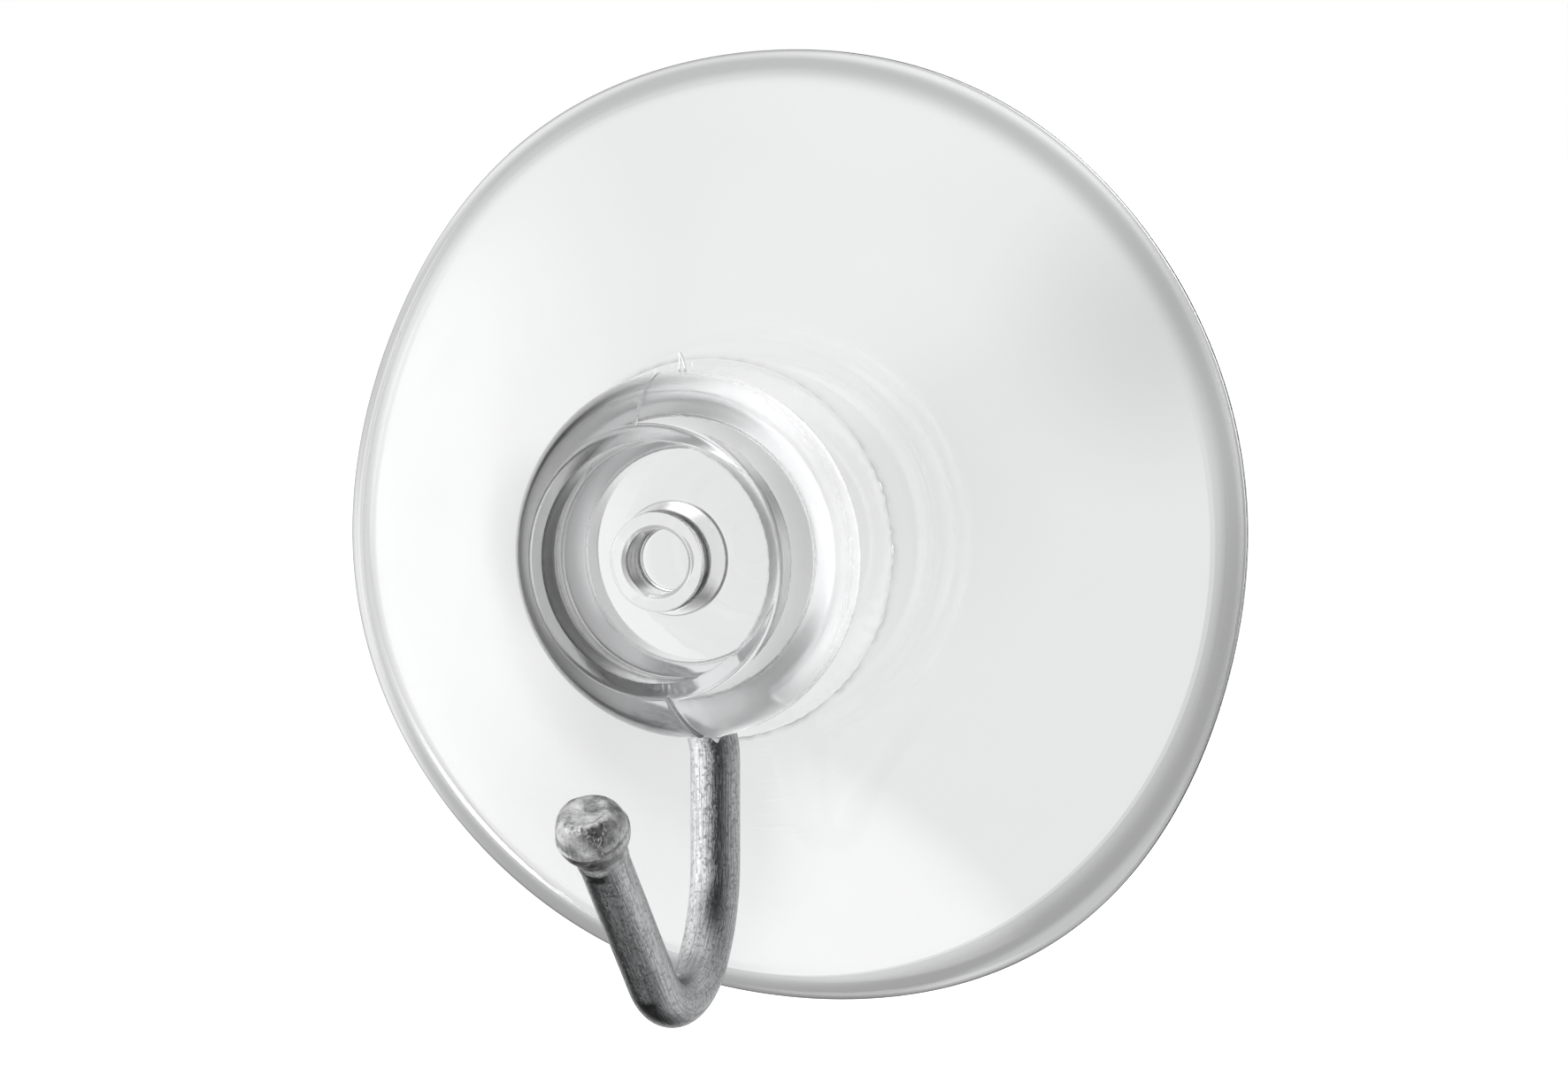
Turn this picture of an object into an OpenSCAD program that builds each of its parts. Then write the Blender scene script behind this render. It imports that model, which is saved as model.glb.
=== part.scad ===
// Suction cup hook: a clear moulded cup with a mushroom head, and a bent wire hook that
// is snapped round the cup's neck. All sizes are in millimetres.
// Frame: the wall is the plane y = 0, the hook stands out towards -Y, +Z is up, and the
// origin is the centre of the cup's rim on the wall.

/* [Skirt] */
// Diameter of the rim that seals on the wall
rim_d = 45; // [38:1:60]
// Thickness of the lip at the rim
lip_t = 0.7; // [0.5:0.05:1]
// Width of the flat sealing land under the lip
land_w = 0.45; // [0.3:0.05:0.8]
// Depth of the hollow behind the skirt
hollow_depth = 6; // [4:0.25:7]
// Height of the shoulder above the wall
shoulder_h = 9.65; // [9:0.25:12]
// How far the skirt's outside dips below a straight cone
skirt_dip = 0.55; // [0.2:0.05:0.8]
// Radius of the shoulder, where the thin parting ring stands
shoulder_r = 8.55; // [8:0.25:10]
// Height of the thin parting ring on the shoulder
parting_h = 0.12; // [0.05:0.01:0.2]

/* [Neck and head] */
// Diameter of the neck that the wire goes round
neck_d = 9.6; // [8:0.2:10.6]
// Fillet where the neck stands on the shoulder
neck_fillet = 0.25; // [0.1:0.05:0.4]
// Widest diameter of the mushroom head
head_d = 16.55; // [15:0.25:18]
// Height of the head, from its underside to its front face
head_h = 4.45; // [4:0.1:6]
// Diameter of the front face, where the head's side curve ends
face_d = 12.1; // [11.5:0.1:13]
// Rounding of the head's widest edge
head_edge = 0.6; // [0.3:0.05:0.8]
// How far the head's side swells beyond a straight cone
side_swell = 0.28; // [0.1:0.02:0.4]
// Diameter of the round recess in the front face
recess_d = 10.72; // [9.5:0.1:11]
// Depth of the recess
recess_depth = 2.2; // [1.5:0.1:3]
// Fillet round the floor of the recess
recess_fillet = 0.35; // [0.2:0.05:0.5]
// Chamfer round the mouth of the recess
recess_edge = 0.1; // [0.05:0.05:0.2]

/* [Centre tube] */
// Diameter of the tube at its top
tube_d = 4.4; // [4:0.1:5]
// How much the tube widens on each side towards its root
tube_draft = 0.35; // [0.1:0.05:0.5]
// How far the tube's top lies below the front face
tube_drop = 0.15; // [0.05:0.05:0.5]
// Chamfer round the tube's top
tube_edge = 0.1; // [0.05:0.05:0.2]
// Chamfer round the tube's root
tube_root = 0.15; // [0.05:0.05:0.3]
// Diameter of the blind hole in the tube
pilot_d = 2.9; // [2.4:0.1:3.2]
// Depth of the blind hole below the tube's top
pilot_depth = 1.75; // [1.2:0.05:3]
// Width of the lead-in at the hole's mouth
lead_in = 0.22; // [0.1:0.02:0.3]

/* [Wire hook] */
// Diameter of the steel wire
wire_d = 2.25; // [1.8:0.05:2.5]
// Gap between the wire ring and the neck
ring_gap = 0.08; // [0.05:0.01:0.1]
// Gap between the wire and each side of the groove
groove_gap = 0.1; // [0.08:0.01:0.3]
// Angle from the +X side down to the ring's free end
ring_end = 60; // [45:1:70]
// Radius of the bend from the ring into the shank
neck_bend_r = 4; // [3.5:0.25:6]
// Distance of the straight shank to the right of the cup's axis
shank_x = 0.6; // [-0.5:0.1:1.2]
// Length of the straight shank
shank_l = 4.7; // [2:0.1:10]
// Radius of the gentle bend at the back of the hook
back_bend_r = 6.8; // [5:0.25:9]
// Angle that the gentle bend turns through
back_bend_a = 37; // [30:1:60]
// Radius of the tighter bend at the bottom of the hook
low_bend_r = 3.95; // [3:0.25:6]
// Angle of the tip leg above level
leg_a = 49; // [35:1:60]
// Length of the straight tip leg up to the ball's centre
leg_l = 10.1; // [6:0.25:14]
// Diameter of the upset ball on the tip
ball_d = 3.3; // [2.8:0.1:4]
// How far the ball's sheared end face lies from its centre
shear_off = 1.2; // [0.8:0.05:1.3]

/* [Hidden] */
$fn = 96;

rim_r = rim_d / 2;
neck_r = neck_d / 2;
head_r = head_d / 2;
face_r = face_d / 2;
recess_r = recess_d / 2;
tube_r = tube_d / 2;
pilot_r = pilot_d / 2;
wire_r = wire_d / 2;

// Heights above the wall, from the groove that takes the wire
groove_w = wire_d + 2 * groove_gap;
head_bottom = shoulder_h + groove_w;
face_h = head_bottom + head_h;
floor_h = face_h - recess_depth;
tube_top = face_h - tube_drop;
pilot_floor = tube_top - pilot_depth;
ring_h = shoulder_h + groove_w / 2;

// The ring's and the hook's centrelines
ring_r = neck_r + ring_gap + wire_r;
bend_x = shank_x - neck_bend_r;
bend_drop = sqrt((ring_r + neck_bend_r) ^ 2 - bend_x ^ 2);
join_a = 180 + atan2(bend_drop, -bend_x);

// Joints between the wire's stretches: the gap, and the swell that fills and covers it
joint_gap = 0.02;
swell_l = 0.3;
swell_t = 0.01;

// The head's side curve starts this far inside its rounded edge
side_inset = 0.05;

// Steps that the section's curves are drawn in
long_steps = 14;
side_steps = 8;
fillet_steps = 4;

// Points along an arc round c, from angle a to angle b, in n steps
function arc(c, r, a, b, n) =
    [for (i = [0:n]) c + r * [cos(a + (b - a) * i / n), sin(a + (b - a) * i / n)]];

// Points between p and q on a shallow curve that dips to one side of the straight line by
// the given amount at its middle
function dipped(p, q, dip, n) =
    let (side = [q[1] - p[1], p[0] - q[0]] / norm(q - p))
    [for (i = [0:n]) let (t = i / n) p + (q - p) * t + side * 4 * dip * t * (1 - t)];

// Height of the hollow's spherical roof at radius r: zero where the land begins
hollow_r = rim_r - lip_t / 2 - land_w;
roof_r = (hollow_r ^ 2 + hollow_depth ^ 2) / (2 * hollow_depth);
function roof(r) = sqrt(roof_r ^ 2 - r ^ 2) - roof_r + hollow_depth;

// One half section of the cup, as [radius, height above the wall]
function cup_section() = concat(
    [for (i = [0:long_steps]) let (r = hollow_r * i / long_steps) [r, roof(r)]],
    arc([rim_r - lip_t / 2, lip_t / 2], lip_t / 2, -90, 60, side_steps),
    dipped([rim_r - lip_t / 2, lip_t], [shoulder_r + parting_h, shoulder_h - parting_h],
        -skirt_dip, long_steps),
    [[shoulder_r + parting_h, shoulder_h], [shoulder_r, shoulder_h]],
    arc([neck_r + neck_fillet, shoulder_h + neck_fillet], neck_fillet, 270, 180, fillet_steps),
    [[neck_r, head_bottom]],
    head_section(),
    recess_section());

// The head's outside: flat underside, rounded edge, and a side that curves in to the face
function head_section() =
    let (side_low = [head_r - side_inset, head_bottom + 2 * head_edge - side_inset],
        side_top = [face_r, face_h])
    concat(
        arc([head_r - head_edge, head_bottom + head_edge], head_edge, -90, 10, fillet_steps),
        dipped(side_low, side_top, side_swell, side_steps));

// The recess with its filleted floor, and the tube with its blind hole
function recess_section() =
    let (root_r = tube_r + tube_draft)
    concat(
        [[recess_r + recess_edge, face_h], [recess_r, face_h - recess_edge]],
        arc([recess_r - recess_fillet, floor_h + recess_fillet], recess_fillet, 0, -90, fillet_steps),
        [[root_r + tube_root, floor_h], [root_r, floor_h + tube_root]],
        [[tube_r, tube_top - tube_edge], [tube_r - tube_edge, tube_top]],
        [[pilot_r + lead_in, tube_top], [pilot_r, tube_top - lead_in]],
        [[pilot_r, pilot_floor], [0, pilot_floor]]);

// Turns a section with heights along +Z to stand out from the wall, towards -Y
module from_wall() {
    rotate([90, 0, 0]) children();
}

// The clear cup: skirt, shoulder, neck, head and centre tube, moulded as one
module suction_cup() {
    color("gainsboro", 0.5)
    from_wall()
    rotate_extrude() polygon(cup_section());
}

// The wire is drawn in stretches that stop a hair short of each other. A short swell, too
// slight to see, is centred on each joint and makes them one solid.
module swell() {
    cylinder(h = swell_l, r = wire_r + swell_t, center = true);
}

// Wire bent through part of a circle of radius r, from angle a to its joint at angle b
module bent_wire(r, a, b) {
    trim = joint_gap / 2 / r * 180 / PI;
    rotate_extrude(angle = abs(b - a) - 2 * trim, start = min(a, b) + trim)
    translate([r, 0]) circle(r = wire_r);
    rotate([0, 0, b]) translate([r, 0, 0]) rotate([90, 0, 0]) swell();
}

// Straight wire along +Z, from the origin to its joint at height l
module straight_wire(l) {
    translate([0, 0, joint_gap / 2]) cylinder(h = l - joint_gap, r = wire_r);
    translate([0, 0, l]) swell();
}

// The upset ball at the tip, with its sheared flat end, centred on the origin along +Z
module ball_tip() {
    ball_r = ball_d / 2;
    shear_a = asin(shear_off / ball_r);
    neck_a = -acos(wire_r / ball_r);
    rotate_extrude()
    polygon(concat(
        [[0, ball_r * sin(neck_a)]],
        arc([0, 0], ball_r, neck_a, shear_a, long_steps),
        [[0, shear_off]]));
}

// The ring round the neck and the bend into the shank, in the groove's middle plane.
// Seen from the front the ring runs clockwise from the bend to its free end.
module ring_and_bend() {
    bent_wire(ring_r, -ring_end, join_a);
    translate([bend_x, -bend_drop]) bent_wire(neck_bend_r, join_a - 180, 0);
}

// The hook's profile seen from its side: X is the distance out from the ring's plane and
// Y is up, with the straight shank starting at [0, 0] and running down
module hook_profile() {
    back_c = [back_bend_r, -shank_l];
    meet = back_c + back_bend_r * [-cos(back_bend_a), -sin(back_bend_a)];
    low_c = meet + low_bend_r * [cos(back_bend_a), sin(back_bend_a)];
    leg_start = low_c + low_bend_r * [sin(leg_a), -cos(leg_a)];

    rotate([90, 0, 0]) straight_wire(shank_l);
    translate(back_c) bent_wire(back_bend_r, 180, 180 + back_bend_a);
    translate(low_c) bent_wire(low_bend_r, 180 + back_bend_a, 270 + leg_a);
    translate(leg_start) rotate([0, 90, leg_a]) {
        straight_wire(leg_l - ball_d / 4);
        translate([0, 0, leg_l]) ball_tip();
    }
}

// The steel hook: ring, bend, shank, hook and ball tip are one bent wire
module wire_hook() {
    color("silver")
    from_wall() {
        translate([0, 0, ring_h]) ring_and_bend();
        translate([shank_x, -bend_drop, ring_h])
        rotate([0, -90, 0]) hook_profile();
    }
}

suction_cup();
wire_hook();
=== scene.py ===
"""Looks of a suction cup hook: a clear moulded cup and a bent plated wire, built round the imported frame."""

import logging
import math
from dataclasses import dataclass, field
from enum import Enum
from typing import Callable

import bpy
import numpy as np
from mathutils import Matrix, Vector

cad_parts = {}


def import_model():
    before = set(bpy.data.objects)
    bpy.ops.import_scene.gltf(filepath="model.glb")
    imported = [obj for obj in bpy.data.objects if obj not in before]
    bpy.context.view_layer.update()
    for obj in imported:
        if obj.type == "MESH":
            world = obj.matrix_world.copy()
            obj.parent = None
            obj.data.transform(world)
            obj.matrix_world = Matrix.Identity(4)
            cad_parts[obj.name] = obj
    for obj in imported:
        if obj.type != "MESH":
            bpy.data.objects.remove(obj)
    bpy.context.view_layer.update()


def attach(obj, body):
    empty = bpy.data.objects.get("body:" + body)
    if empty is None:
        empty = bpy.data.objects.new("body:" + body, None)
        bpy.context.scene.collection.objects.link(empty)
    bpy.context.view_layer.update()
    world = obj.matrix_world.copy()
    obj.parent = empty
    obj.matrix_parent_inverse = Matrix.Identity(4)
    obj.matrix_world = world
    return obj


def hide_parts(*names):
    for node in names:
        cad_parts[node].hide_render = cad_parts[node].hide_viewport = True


MM = 0.001
FRAME_WIDTH_PX = 1772
LOG = logging.getLogger("suction_cup_hook")


class Body(Enum):
    """The two rigid bodies of the frame that pieces ride on."""

    CUP = "cup"
    HOOK = "hook"


class Slot(Enum):
    """The record's material slots."""

    PLASTIC = "clear_plastic"
    WIRE = "plated_wire"


# Curves and grids


def line(p: tuple, q: tuple, n: int) -> np.ndarray:
    """Points spread evenly from p to q.

    Args:
        p: first point (radius, height).
        q: last point.
        n: number of steps.

    Returns:
        An (n + 1, 2) array.
    """
    t = np.linspace(0.0, 1.0, n + 1)[:, None]
    return np.array(p) * (1 - t) + np.array(q) * t


def arc(centre: tuple, r: float, a: float, b: float, n: int) -> np.ndarray:
    """Points round a circle: centre + r (cos, sin) of an angle that runs evenly from a to b.

    Args:
        centre: the circle's centre.
        r: its radius.
        a: first angle in degrees.
        b: last angle in degrees.
        n: number of steps.

    Returns:
        An (n + 1, 2) array.
    """
    t = np.radians(np.linspace(a, b, n + 1))
    return np.array(centre) + r * np.stack([np.cos(t), np.sin(t)], axis=1)


def dipped(p: tuple, q: tuple, dip: float, n: int) -> np.ndarray:
    """A shallow parabola from p to q that leaves the straight line by dip at its middle.

    Args:
        p: first point.
        q: last point.
        dip: distance from the chord at the middle, positive to the right of p to q.
        n: number of steps.

    Returns:
        An (n + 1, 2) array.
    """
    t = np.linspace(0.0, 1.0, n + 1)[:, None]
    d = np.array(q, float) - np.array(p, float)
    side = np.array([d[1], -d[0]]) / np.linalg.norm(d)
    return np.array(p) + d * t + side * 4 * dip * t * (1 - t)


def rounded(corners: list, steps: int = 6) -> np.ndarray:
    """A polyline whose corners are replaced by quadratic curves that touch both sides.

    Args:
        corners: (x, y, reach) for each corner; the curve starts and ends at that reach from it.
        steps: steps in each curve.

    Returns:
        The points of the rounded polyline.
    """
    pts = np.array([c[:2] for c in corners], float)
    t = np.linspace(0.0, 1.0, steps + 1)[:, None]
    out = [pts[:1]]
    for i in range(1, len(pts) - 1):
        reach = corners[i][2]
        into = (pts[i - 1] - pts[i]) / np.linalg.norm(pts[i - 1] - pts[i])
        away = (pts[i + 1] - pts[i]) / np.linalg.norm(pts[i + 1] - pts[i])
        a, c = pts[i] + into * reach, pts[i] + away * reach
        out.append(a * (1 - t) ** 2 + pts[i] * 2 * t * (1 - t) + c * t**2)
    out.append(pts[-1:])
    return np.concatenate(out)


def without_repeats(points: np.ndarray, least: float = 1e-4) -> np.ndarray:
    """The points with any that lies on the one before it left out."""
    keep = np.r_[True, np.linalg.norm(np.diff(points, axis=0), axis=1) > least]
    return points[keep]


def split_long(points: np.ndarray, longest: float) -> np.ndarray:
    """The same polyline with points added so that no step is longer than longest."""
    step = np.linalg.norm(np.diff(points, axis=0), axis=1)
    count = np.maximum(1, np.ceil(step / longest).astype(int))
    at = np.concatenate([i + np.arange(c) / c for i, c in enumerate(count)] + [[len(count)]])
    index = np.arange(len(points))
    return np.stack([np.interp(at, index, points[:, k]) for k in range(2)], axis=1)


def smooth_step(x: np.ndarray, low: float, high: float) -> np.ndarray:
    """0 below low, 1 above high, and 3t^2 - 2t^3 between them."""
    t = np.clip((x - low) / (high - low), 0, 1)
    return t * t * (3 - 2 * t)


def bump_at(x: np.ndarray, centre: float, width: float) -> np.ndarray:
    """A bell of height 1 at centre: exp of minus the squared distance over the squared width."""
    return np.exp(-(((x - centre) / width) ** 2))


def rounding(x: np.ndarray, reach: float) -> np.ndarray:
    """How far an edge rounded by a quarter circle stands back, at a distance x from its end."""
    t = 1 - np.clip(x / reach, 0, 1)
    return reach * (1 - np.sqrt(1 - t**2))


def ring_grid_faces(rows: int, cols: int, first: int = 0) -> list:
    """Quads of a grid whose columns close into a ring, each row an index block of cols points.

    Args:
        rows: number of rows.
        cols: number of columns.
        first: index of the grid's first point.

    Returns:
        A list of index rows, four to a face.
    """
    i, j = np.meshgrid(np.arange(rows - 1), np.arange(cols), indexing="ij")
    k = (j + 1) % cols
    quads = np.stack([i * cols + j, i * cols + k, (i + 1) * cols + k, (i + 1) * cols + j], axis=-1)
    return (quads.reshape(-1, 4) + first).tolist()


def fan_faces(pole: int, ring: np.ndarray, flip: bool) -> list:
    """Triangles from one pole to each edge of a closed ring of points."""
    nxt = np.roll(ring, -1)
    pair = (nxt, ring) if flip else (ring, nxt)
    return np.stack([np.full(len(ring), pole), *pair], axis=1).tolist()


def mesh_object(name: str, points: np.ndarray, faces: list) -> bpy.types.Object:
    """Makes a smooth-shaded object at the origin from points in millimetres.

    Args:
        name: the object's and mesh's name.
        points: an (n, 3) array in millimetres.
        faces: index rows.

    Returns:
        The linked object.
    """
    mesh = bpy.data.meshes.new(name)
    mesh.from_pydata((points * MM).tolist(), [], faces)
    mesh.validate()
    mesh.polygons.foreach_set("use_smooth", np.ones(len(mesh.polygons), bool))
    mesh.update()
    obj = bpy.data.objects.new(name, mesh)
    bpy.context.scene.collection.objects.link(obj)
    return obj


# Shader nodes


class NodeSheet:
    """Adds nodes to one node tree and joins them by socket."""

    def __init__(self, tree: bpy.types.NodeTree) -> None:
        """Keeps the tree and clears it."""
        self.tree = tree
        tree.nodes.clear()

    def add(self, kind: str, inputs: dict | None = None, **settings: object) -> bpy.types.Node:
        """Adds a node.

        Args:
            kind: the node's Blender type.
            inputs: input name or index to a value or to a socket that feeds it.
            settings: the node's own properties.

        Returns:
            The new node.
        """
        node = self.tree.nodes.new(kind)
        for name, value in settings.items():
            setattr(node, name, value)
        for key, value in (inputs or {}).items():
            if isinstance(value, bpy.types.NodeSocket):
                self.tree.links.new(value, node.inputs[key])
            else:
                node.inputs[key].default_value = value
        return node

    def maths(self, operation: str, a: object, b: object = 0.0) -> bpy.types.NodeSocket:
        """The result of one Math node."""
        return self.add("ShaderNodeMath", {0: a, 1: b}, operation=operation).outputs[0]

    def spread(self, value: object, low: float, high: float, to_low: float, to_high: float) -> bpy.types.NodeSocket:
        """Maps low to high smoothly onto to_low to to_high."""
        inputs = {"Value": value, "From Min": low, "From Max": high, "To Min": to_low, "To Max": to_high}
        return self.add("ShaderNodeMapRange", inputs, interpolation_type="SMOOTHSTEP").outputs[0]

    def mixed(self, share: object, a: object, b: object) -> bpy.types.NodeSocket:
        """A blend of colours a and b, all b where share is 1."""
        node = self.add("ShaderNodeMix", data_type="RGBA")
        for key, value in ((0, share), (6, a), (7, b)):
            if isinstance(value, bpy.types.NodeSocket):
                self.tree.links.new(value, node.inputs[key])
            else:
                node.inputs[key].default_value = value
        return node.outputs[2]


def new_material(name: str) -> tuple[bpy.types.Material, NodeSheet]:
    """A new material and its empty node sheet."""
    material = bpy.data.materials.new(name)
    material.use_nodes = True
    return material, NodeSheet(material.node_tree)


def scuff_group() -> bpy.types.NodeTree:
    """The shared scuff effect: fine crossing scratches and soft cloudy wear, made once.

    Returns:
        A node group with inputs Vector, Scale and Amount, and outputs Scratch and Cloud, both 0 to Amount.
    """
    tree = bpy.data.node_groups.new("scuffs", "ShaderNodeTree")
    face = tree.interface
    face.new_socket("Vector", in_out="INPUT", socket_type="NodeSocketVector")
    face.new_socket("Scale", in_out="INPUT", socket_type="NodeSocketFloat")
    face.new_socket("Amount", in_out="INPUT", socket_type="NodeSocketFloat")
    face.new_socket("Scratch", in_out="OUTPUT", socket_type="NodeSocketFloat")
    face.new_socket("Cloud", in_out="OUTPUT", socket_type="NodeSocketFloat")
    sheet = NodeSheet(tree)
    given = sheet.add("NodeGroupInput")
    turned = []
    for angle in (0.5, 2.1):
        stretched = sheet.add(
            "ShaderNodeMapping",
            {"Vector": given.outputs["Vector"], "Rotation": (angle, angle / 2, angle), "Scale": (1.0, 14.0, 3.0)},
        )
        noise = sheet.add(
            "ShaderNodeTexNoise",
            {"Vector": stretched.outputs[0], "Scale": given.outputs["Scale"], "Detail": 5.0, "Distortion": 0.4},
        )
        turned.append(sheet.spread(noise.outputs[0], 0.60, 0.70, 0.0, 1.0))
    cloud = sheet.add(
        "ShaderNodeTexNoise",
        {"Vector": given.outputs["Vector"], "Scale": given.outputs["Scale"], "Detail": 4.0, "Roughness": 0.6},
    )
    both = sheet.maths("MAXIMUM", turned[0], turned[1])
    soft = sheet.spread(cloud.outputs[0], 0.35, 0.7, 0.0, 1.0)
    out = {
        "Scratch": sheet.maths("MULTIPLY", both, given.outputs["Amount"]),
        "Cloud": sheet.maths("MULTIPLY", soft, given.outputs["Amount"]),
    }
    sheet.add("NodeGroupOutput", out)
    return tree


@dataclass(frozen=True)
class PaintedShade:
    """A stretch of painted shade on a turned surface: ranges of radius and height, and a range of angle."""

    r: tuple
    h: tuple
    angle: float
    full: float
    none: float
    painted_keeps: float

    def painted_share(self, sheet: NodeSheet, x: object, z: object, r: object, h: object) -> bpy.types.NodeSocket:
        """The share of light left by the painted shade at a place, 1 outside the stretch.

        Args:
            sheet: where the nodes go.
            x: distance to the right of the axis, in millimetres.
            z: height above the axis, in millimetres.
            r: distance from the axis, in millimetres.
            h: distance from the wall, in millimetres.
        """
        a = math.radians(self.angle)
        along = sheet.maths("ADD", sheet.maths("MULTIPLY", x, math.cos(a)), sheet.maths("MULTIPLY", z, math.sin(a)))
        cosine = sheet.maths("DIVIDE", along, r)
        share = sheet.spread(cosine, math.cos(math.radians(self.none)), math.cos(math.radians(self.full)), 0.0, 1.0)
        for value, (low, high) in ((r, self.r), (h, self.h)):
            share = sheet.maths("MULTIPLY", share, sheet.maths("GREATER_THAN", value, low))
            share = sheet.maths("MULTIPLY", share, sheet.maths("LESS_THAN", value, high))
        # Painted shade: inside the stretch the surface keeps only this share of the light.
        return sheet.spread(share, 0.0, 1.0, 1.0, self.painted_keeps)


@dataclass(frozen=True)
class ClearPlastic:
    """Soft clear moulded plastic with a faint haze, a slightly uneven skin and painted shade in places."""

    scuffs: bpy.types.NodeTree
    tint: tuple = (0.972, 0.976, 0.980, 1.0)
    ior: float = 1.53
    clear_roughness: float = 0.015
    hazy_roughness: float = 0.10
    bump_height: float = 0.00002
    # The matt moulded skin under the head: heights and outer radius in millimetres
    matt_low: float = 11.9
    matt_high: float = 12.2
    matt_r: float = 8.35
    matt_roughness: float = 0.28
    # The band of painted shade just inside the rim, in millimetres, and how much light it keeps
    painted_rim_r: float = 21.95
    painted_rim_in: float = 1.3
    painted_rim_out: float = 0.45
    painted_rim_keeps: float = 0.66
    # Clouds of painted shade in the skirt: (x, z, reach) in millimetres and how much light each keeps
    painted_clouds: tuple = ((18.5, 10.0, 9.0, 0.84), (7.5, 2.5, 9.0, 0.93))
    # Stretches of painted shade: the head's left, the recess's left wall in two parts, the tube's right side,
    # the hole's left and the bottom of the rim
    painted_shades: tuple = (
        PaintedShade((6.15, 8.4), (12.0, 16.6), 188.0, 25.0, 95.0, 0.30),
        PaintedShade((5.20, 5.45), (15.35, 16.7), 190.0, 35.0, 78.0, 0.06),
        PaintedShade((5.20, 5.45), (14.4, 15.35), 190.0, 35.0, 78.0, 0.55),
        PaintedShade((2.24, 2.70), (14.38, 16.45), 5.0, 35.0, 80.0, 0.10),
        PaintedShade((1.30, 1.50), (14.7, 16.3), 180.0, 35.0, 80.0, 0.10),
        PaintedShade((20.9, 22.8), (-0.1, 2.5), -65.0, 40.0, 100.0, 0.70),
    )

    def painted_rim_band(self, sheet: NodeSheet, r: bpy.types.NodeSocket) -> bpy.types.NodeSocket:
        """1 on the rim's band of painted shade and 0 away from it, with a slow inner side and a quick outer one."""
        # Painted shade: this band darkens the rim's colour.
        inner = sheet.spread(r, self.painted_rim_r - self.painted_rim_in, self.painted_rim_r, 0.0, 1.0)
        outer = sheet.spread(r, self.painted_rim_r, self.painted_rim_r + self.painted_rim_out, 1.0, 0.2)
        return sheet.maths("MULTIPLY", inner, outer)

    def matt_skin(self, sheet: NodeSheet, r: bpy.types.NodeSocket, h: bpy.types.NodeSocket) -> bpy.types.NodeSocket:
        """1 on the head's underside and 0 away from it."""
        low = sheet.maths("GREATER_THAN", h, self.matt_low)
        high = sheet.maths("LESS_THAN", h, self.matt_high)
        near = sheet.maths("LESS_THAN", r, self.matt_r)
        return sheet.maths("MULTIPLY", sheet.maths("MULTIPLY", low, high), near)

    def painted_rim_and_cloud_share(self, sheet: NodeSheet, place: bpy.types.NodeSocket, r: bpy.types.NodeSocket) -> bpy.types.NodeSocket:
        """The share of light left at a place by painted shade: less on the rim's band and in the clouds."""
        painted_share = sheet.spread(self.painted_rim_band(sheet, r), 0.0, 1.0, 1.0, self.painted_rim_keeps)
        # Painted shade: soft darker clouds in the skirt's colour.
        for x, z, reach, share in self.painted_clouds:
            flat = sheet.add("ShaderNodeVectorMath", {0: place, 1: (1.0, 0.0, 1.0)}, operation="MULTIPLY").outputs[0]
            away = sheet.add(
                "ShaderNodeVectorMath", {0: flat, 1: (x * MM, 0.0, z * MM)}, operation="DISTANCE"
            ).outputs["Value"]
            painted_share = sheet.maths("MULTIPLY", painted_share, sheet.spread(away, 0.0, reach * MM, share, 1.0))
        return painted_share

    def painted_shade_share(self, sheet: NodeSheet, x: object, z: object, r: object, h: object) -> bpy.types.NodeSocket:
        """The share of light left by all the stretches of painted shade together."""
        painted_share = sheet.spread(r, -1.0, 0.0, 1.0, 1.0)
        # Painted shade: each stretch darkens the base colour and the reflections.
        for shade in self.painted_shades:
            painted_share = sheet.maths("MULTIPLY", painted_share, shade.painted_share(sheet, x, z, r, h))
        return painted_share

    def material(self) -> bpy.types.Material:
        """Builds the finish: clear, with a matt underside, painted shade on the rim and in places, and a fine uneven
        surface.
        """
        material, sheet = new_material("clear_moulded_plastic")
        place = sheet.add("ShaderNodeTexCoord").outputs["Object"]
        split = sheet.add("ShaderNodeSeparateXYZ", {0: place})
        x, y, z = (sheet.maths("MULTIPLY", split.outputs[k], 1 / MM) for k in range(3))
        square = sheet.maths("ADD", sheet.maths("MULTIPLY", x, x), sheet.maths("MULTIPLY", z, z))
        r, h = sheet.maths("SQRT", square), sheet.maths("MULTIPLY", y, -1.0)
        scuffs = sheet.add("ShaderNodeGroup", node_tree=self.scuffs)
        for key, value in (("Scale", 260.0), ("Amount", 1.0)):
            scuffs.inputs[key].default_value = value
        sheet.tree.links.new(place, scuffs.inputs["Vector"])
        wave = sheet.add("ShaderNodeTexNoise", {"Vector": place, "Scale": 180.0, "Detail": 2.0})
        skin = sheet.add("ShaderNodeTexNoise", {"Vector": place, "Scale": 2600.0, "Detail": 3.0})
        height = sheet.maths("ADD", wave.outputs[0], sheet.maths("MULTIPLY", skin.outputs[0], 0.05))
        height = sheet.maths("SUBTRACT", height, sheet.maths("MULTIPLY", scuffs.outputs["Scratch"], 0.06))
        bump = sheet.add(
            "ShaderNodeBump", {"Height": height, "Strength": 1.0, "Distance": self.bump_height}
        )
        rough = sheet.spread(scuffs.outputs["Cloud"], 0.0, 1.0, self.clear_roughness, self.hazy_roughness)
        rough = sheet.spread(self.matt_skin(sheet, r, h), 0.0, 1.0, rough, self.matt_roughness)
        painted_shade_share = self.painted_shade_share(sheet, x, z, r, h)
        # Painted shade darkens the base colour here.
        painted_share = sheet.maths("MULTIPLY", self.painted_rim_and_cloud_share(sheet, place, r), painted_shade_share)
        colour = sheet.mixed(painted_share, (0.0, 0.0, 0.0, 1.0), self.tint)
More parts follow.
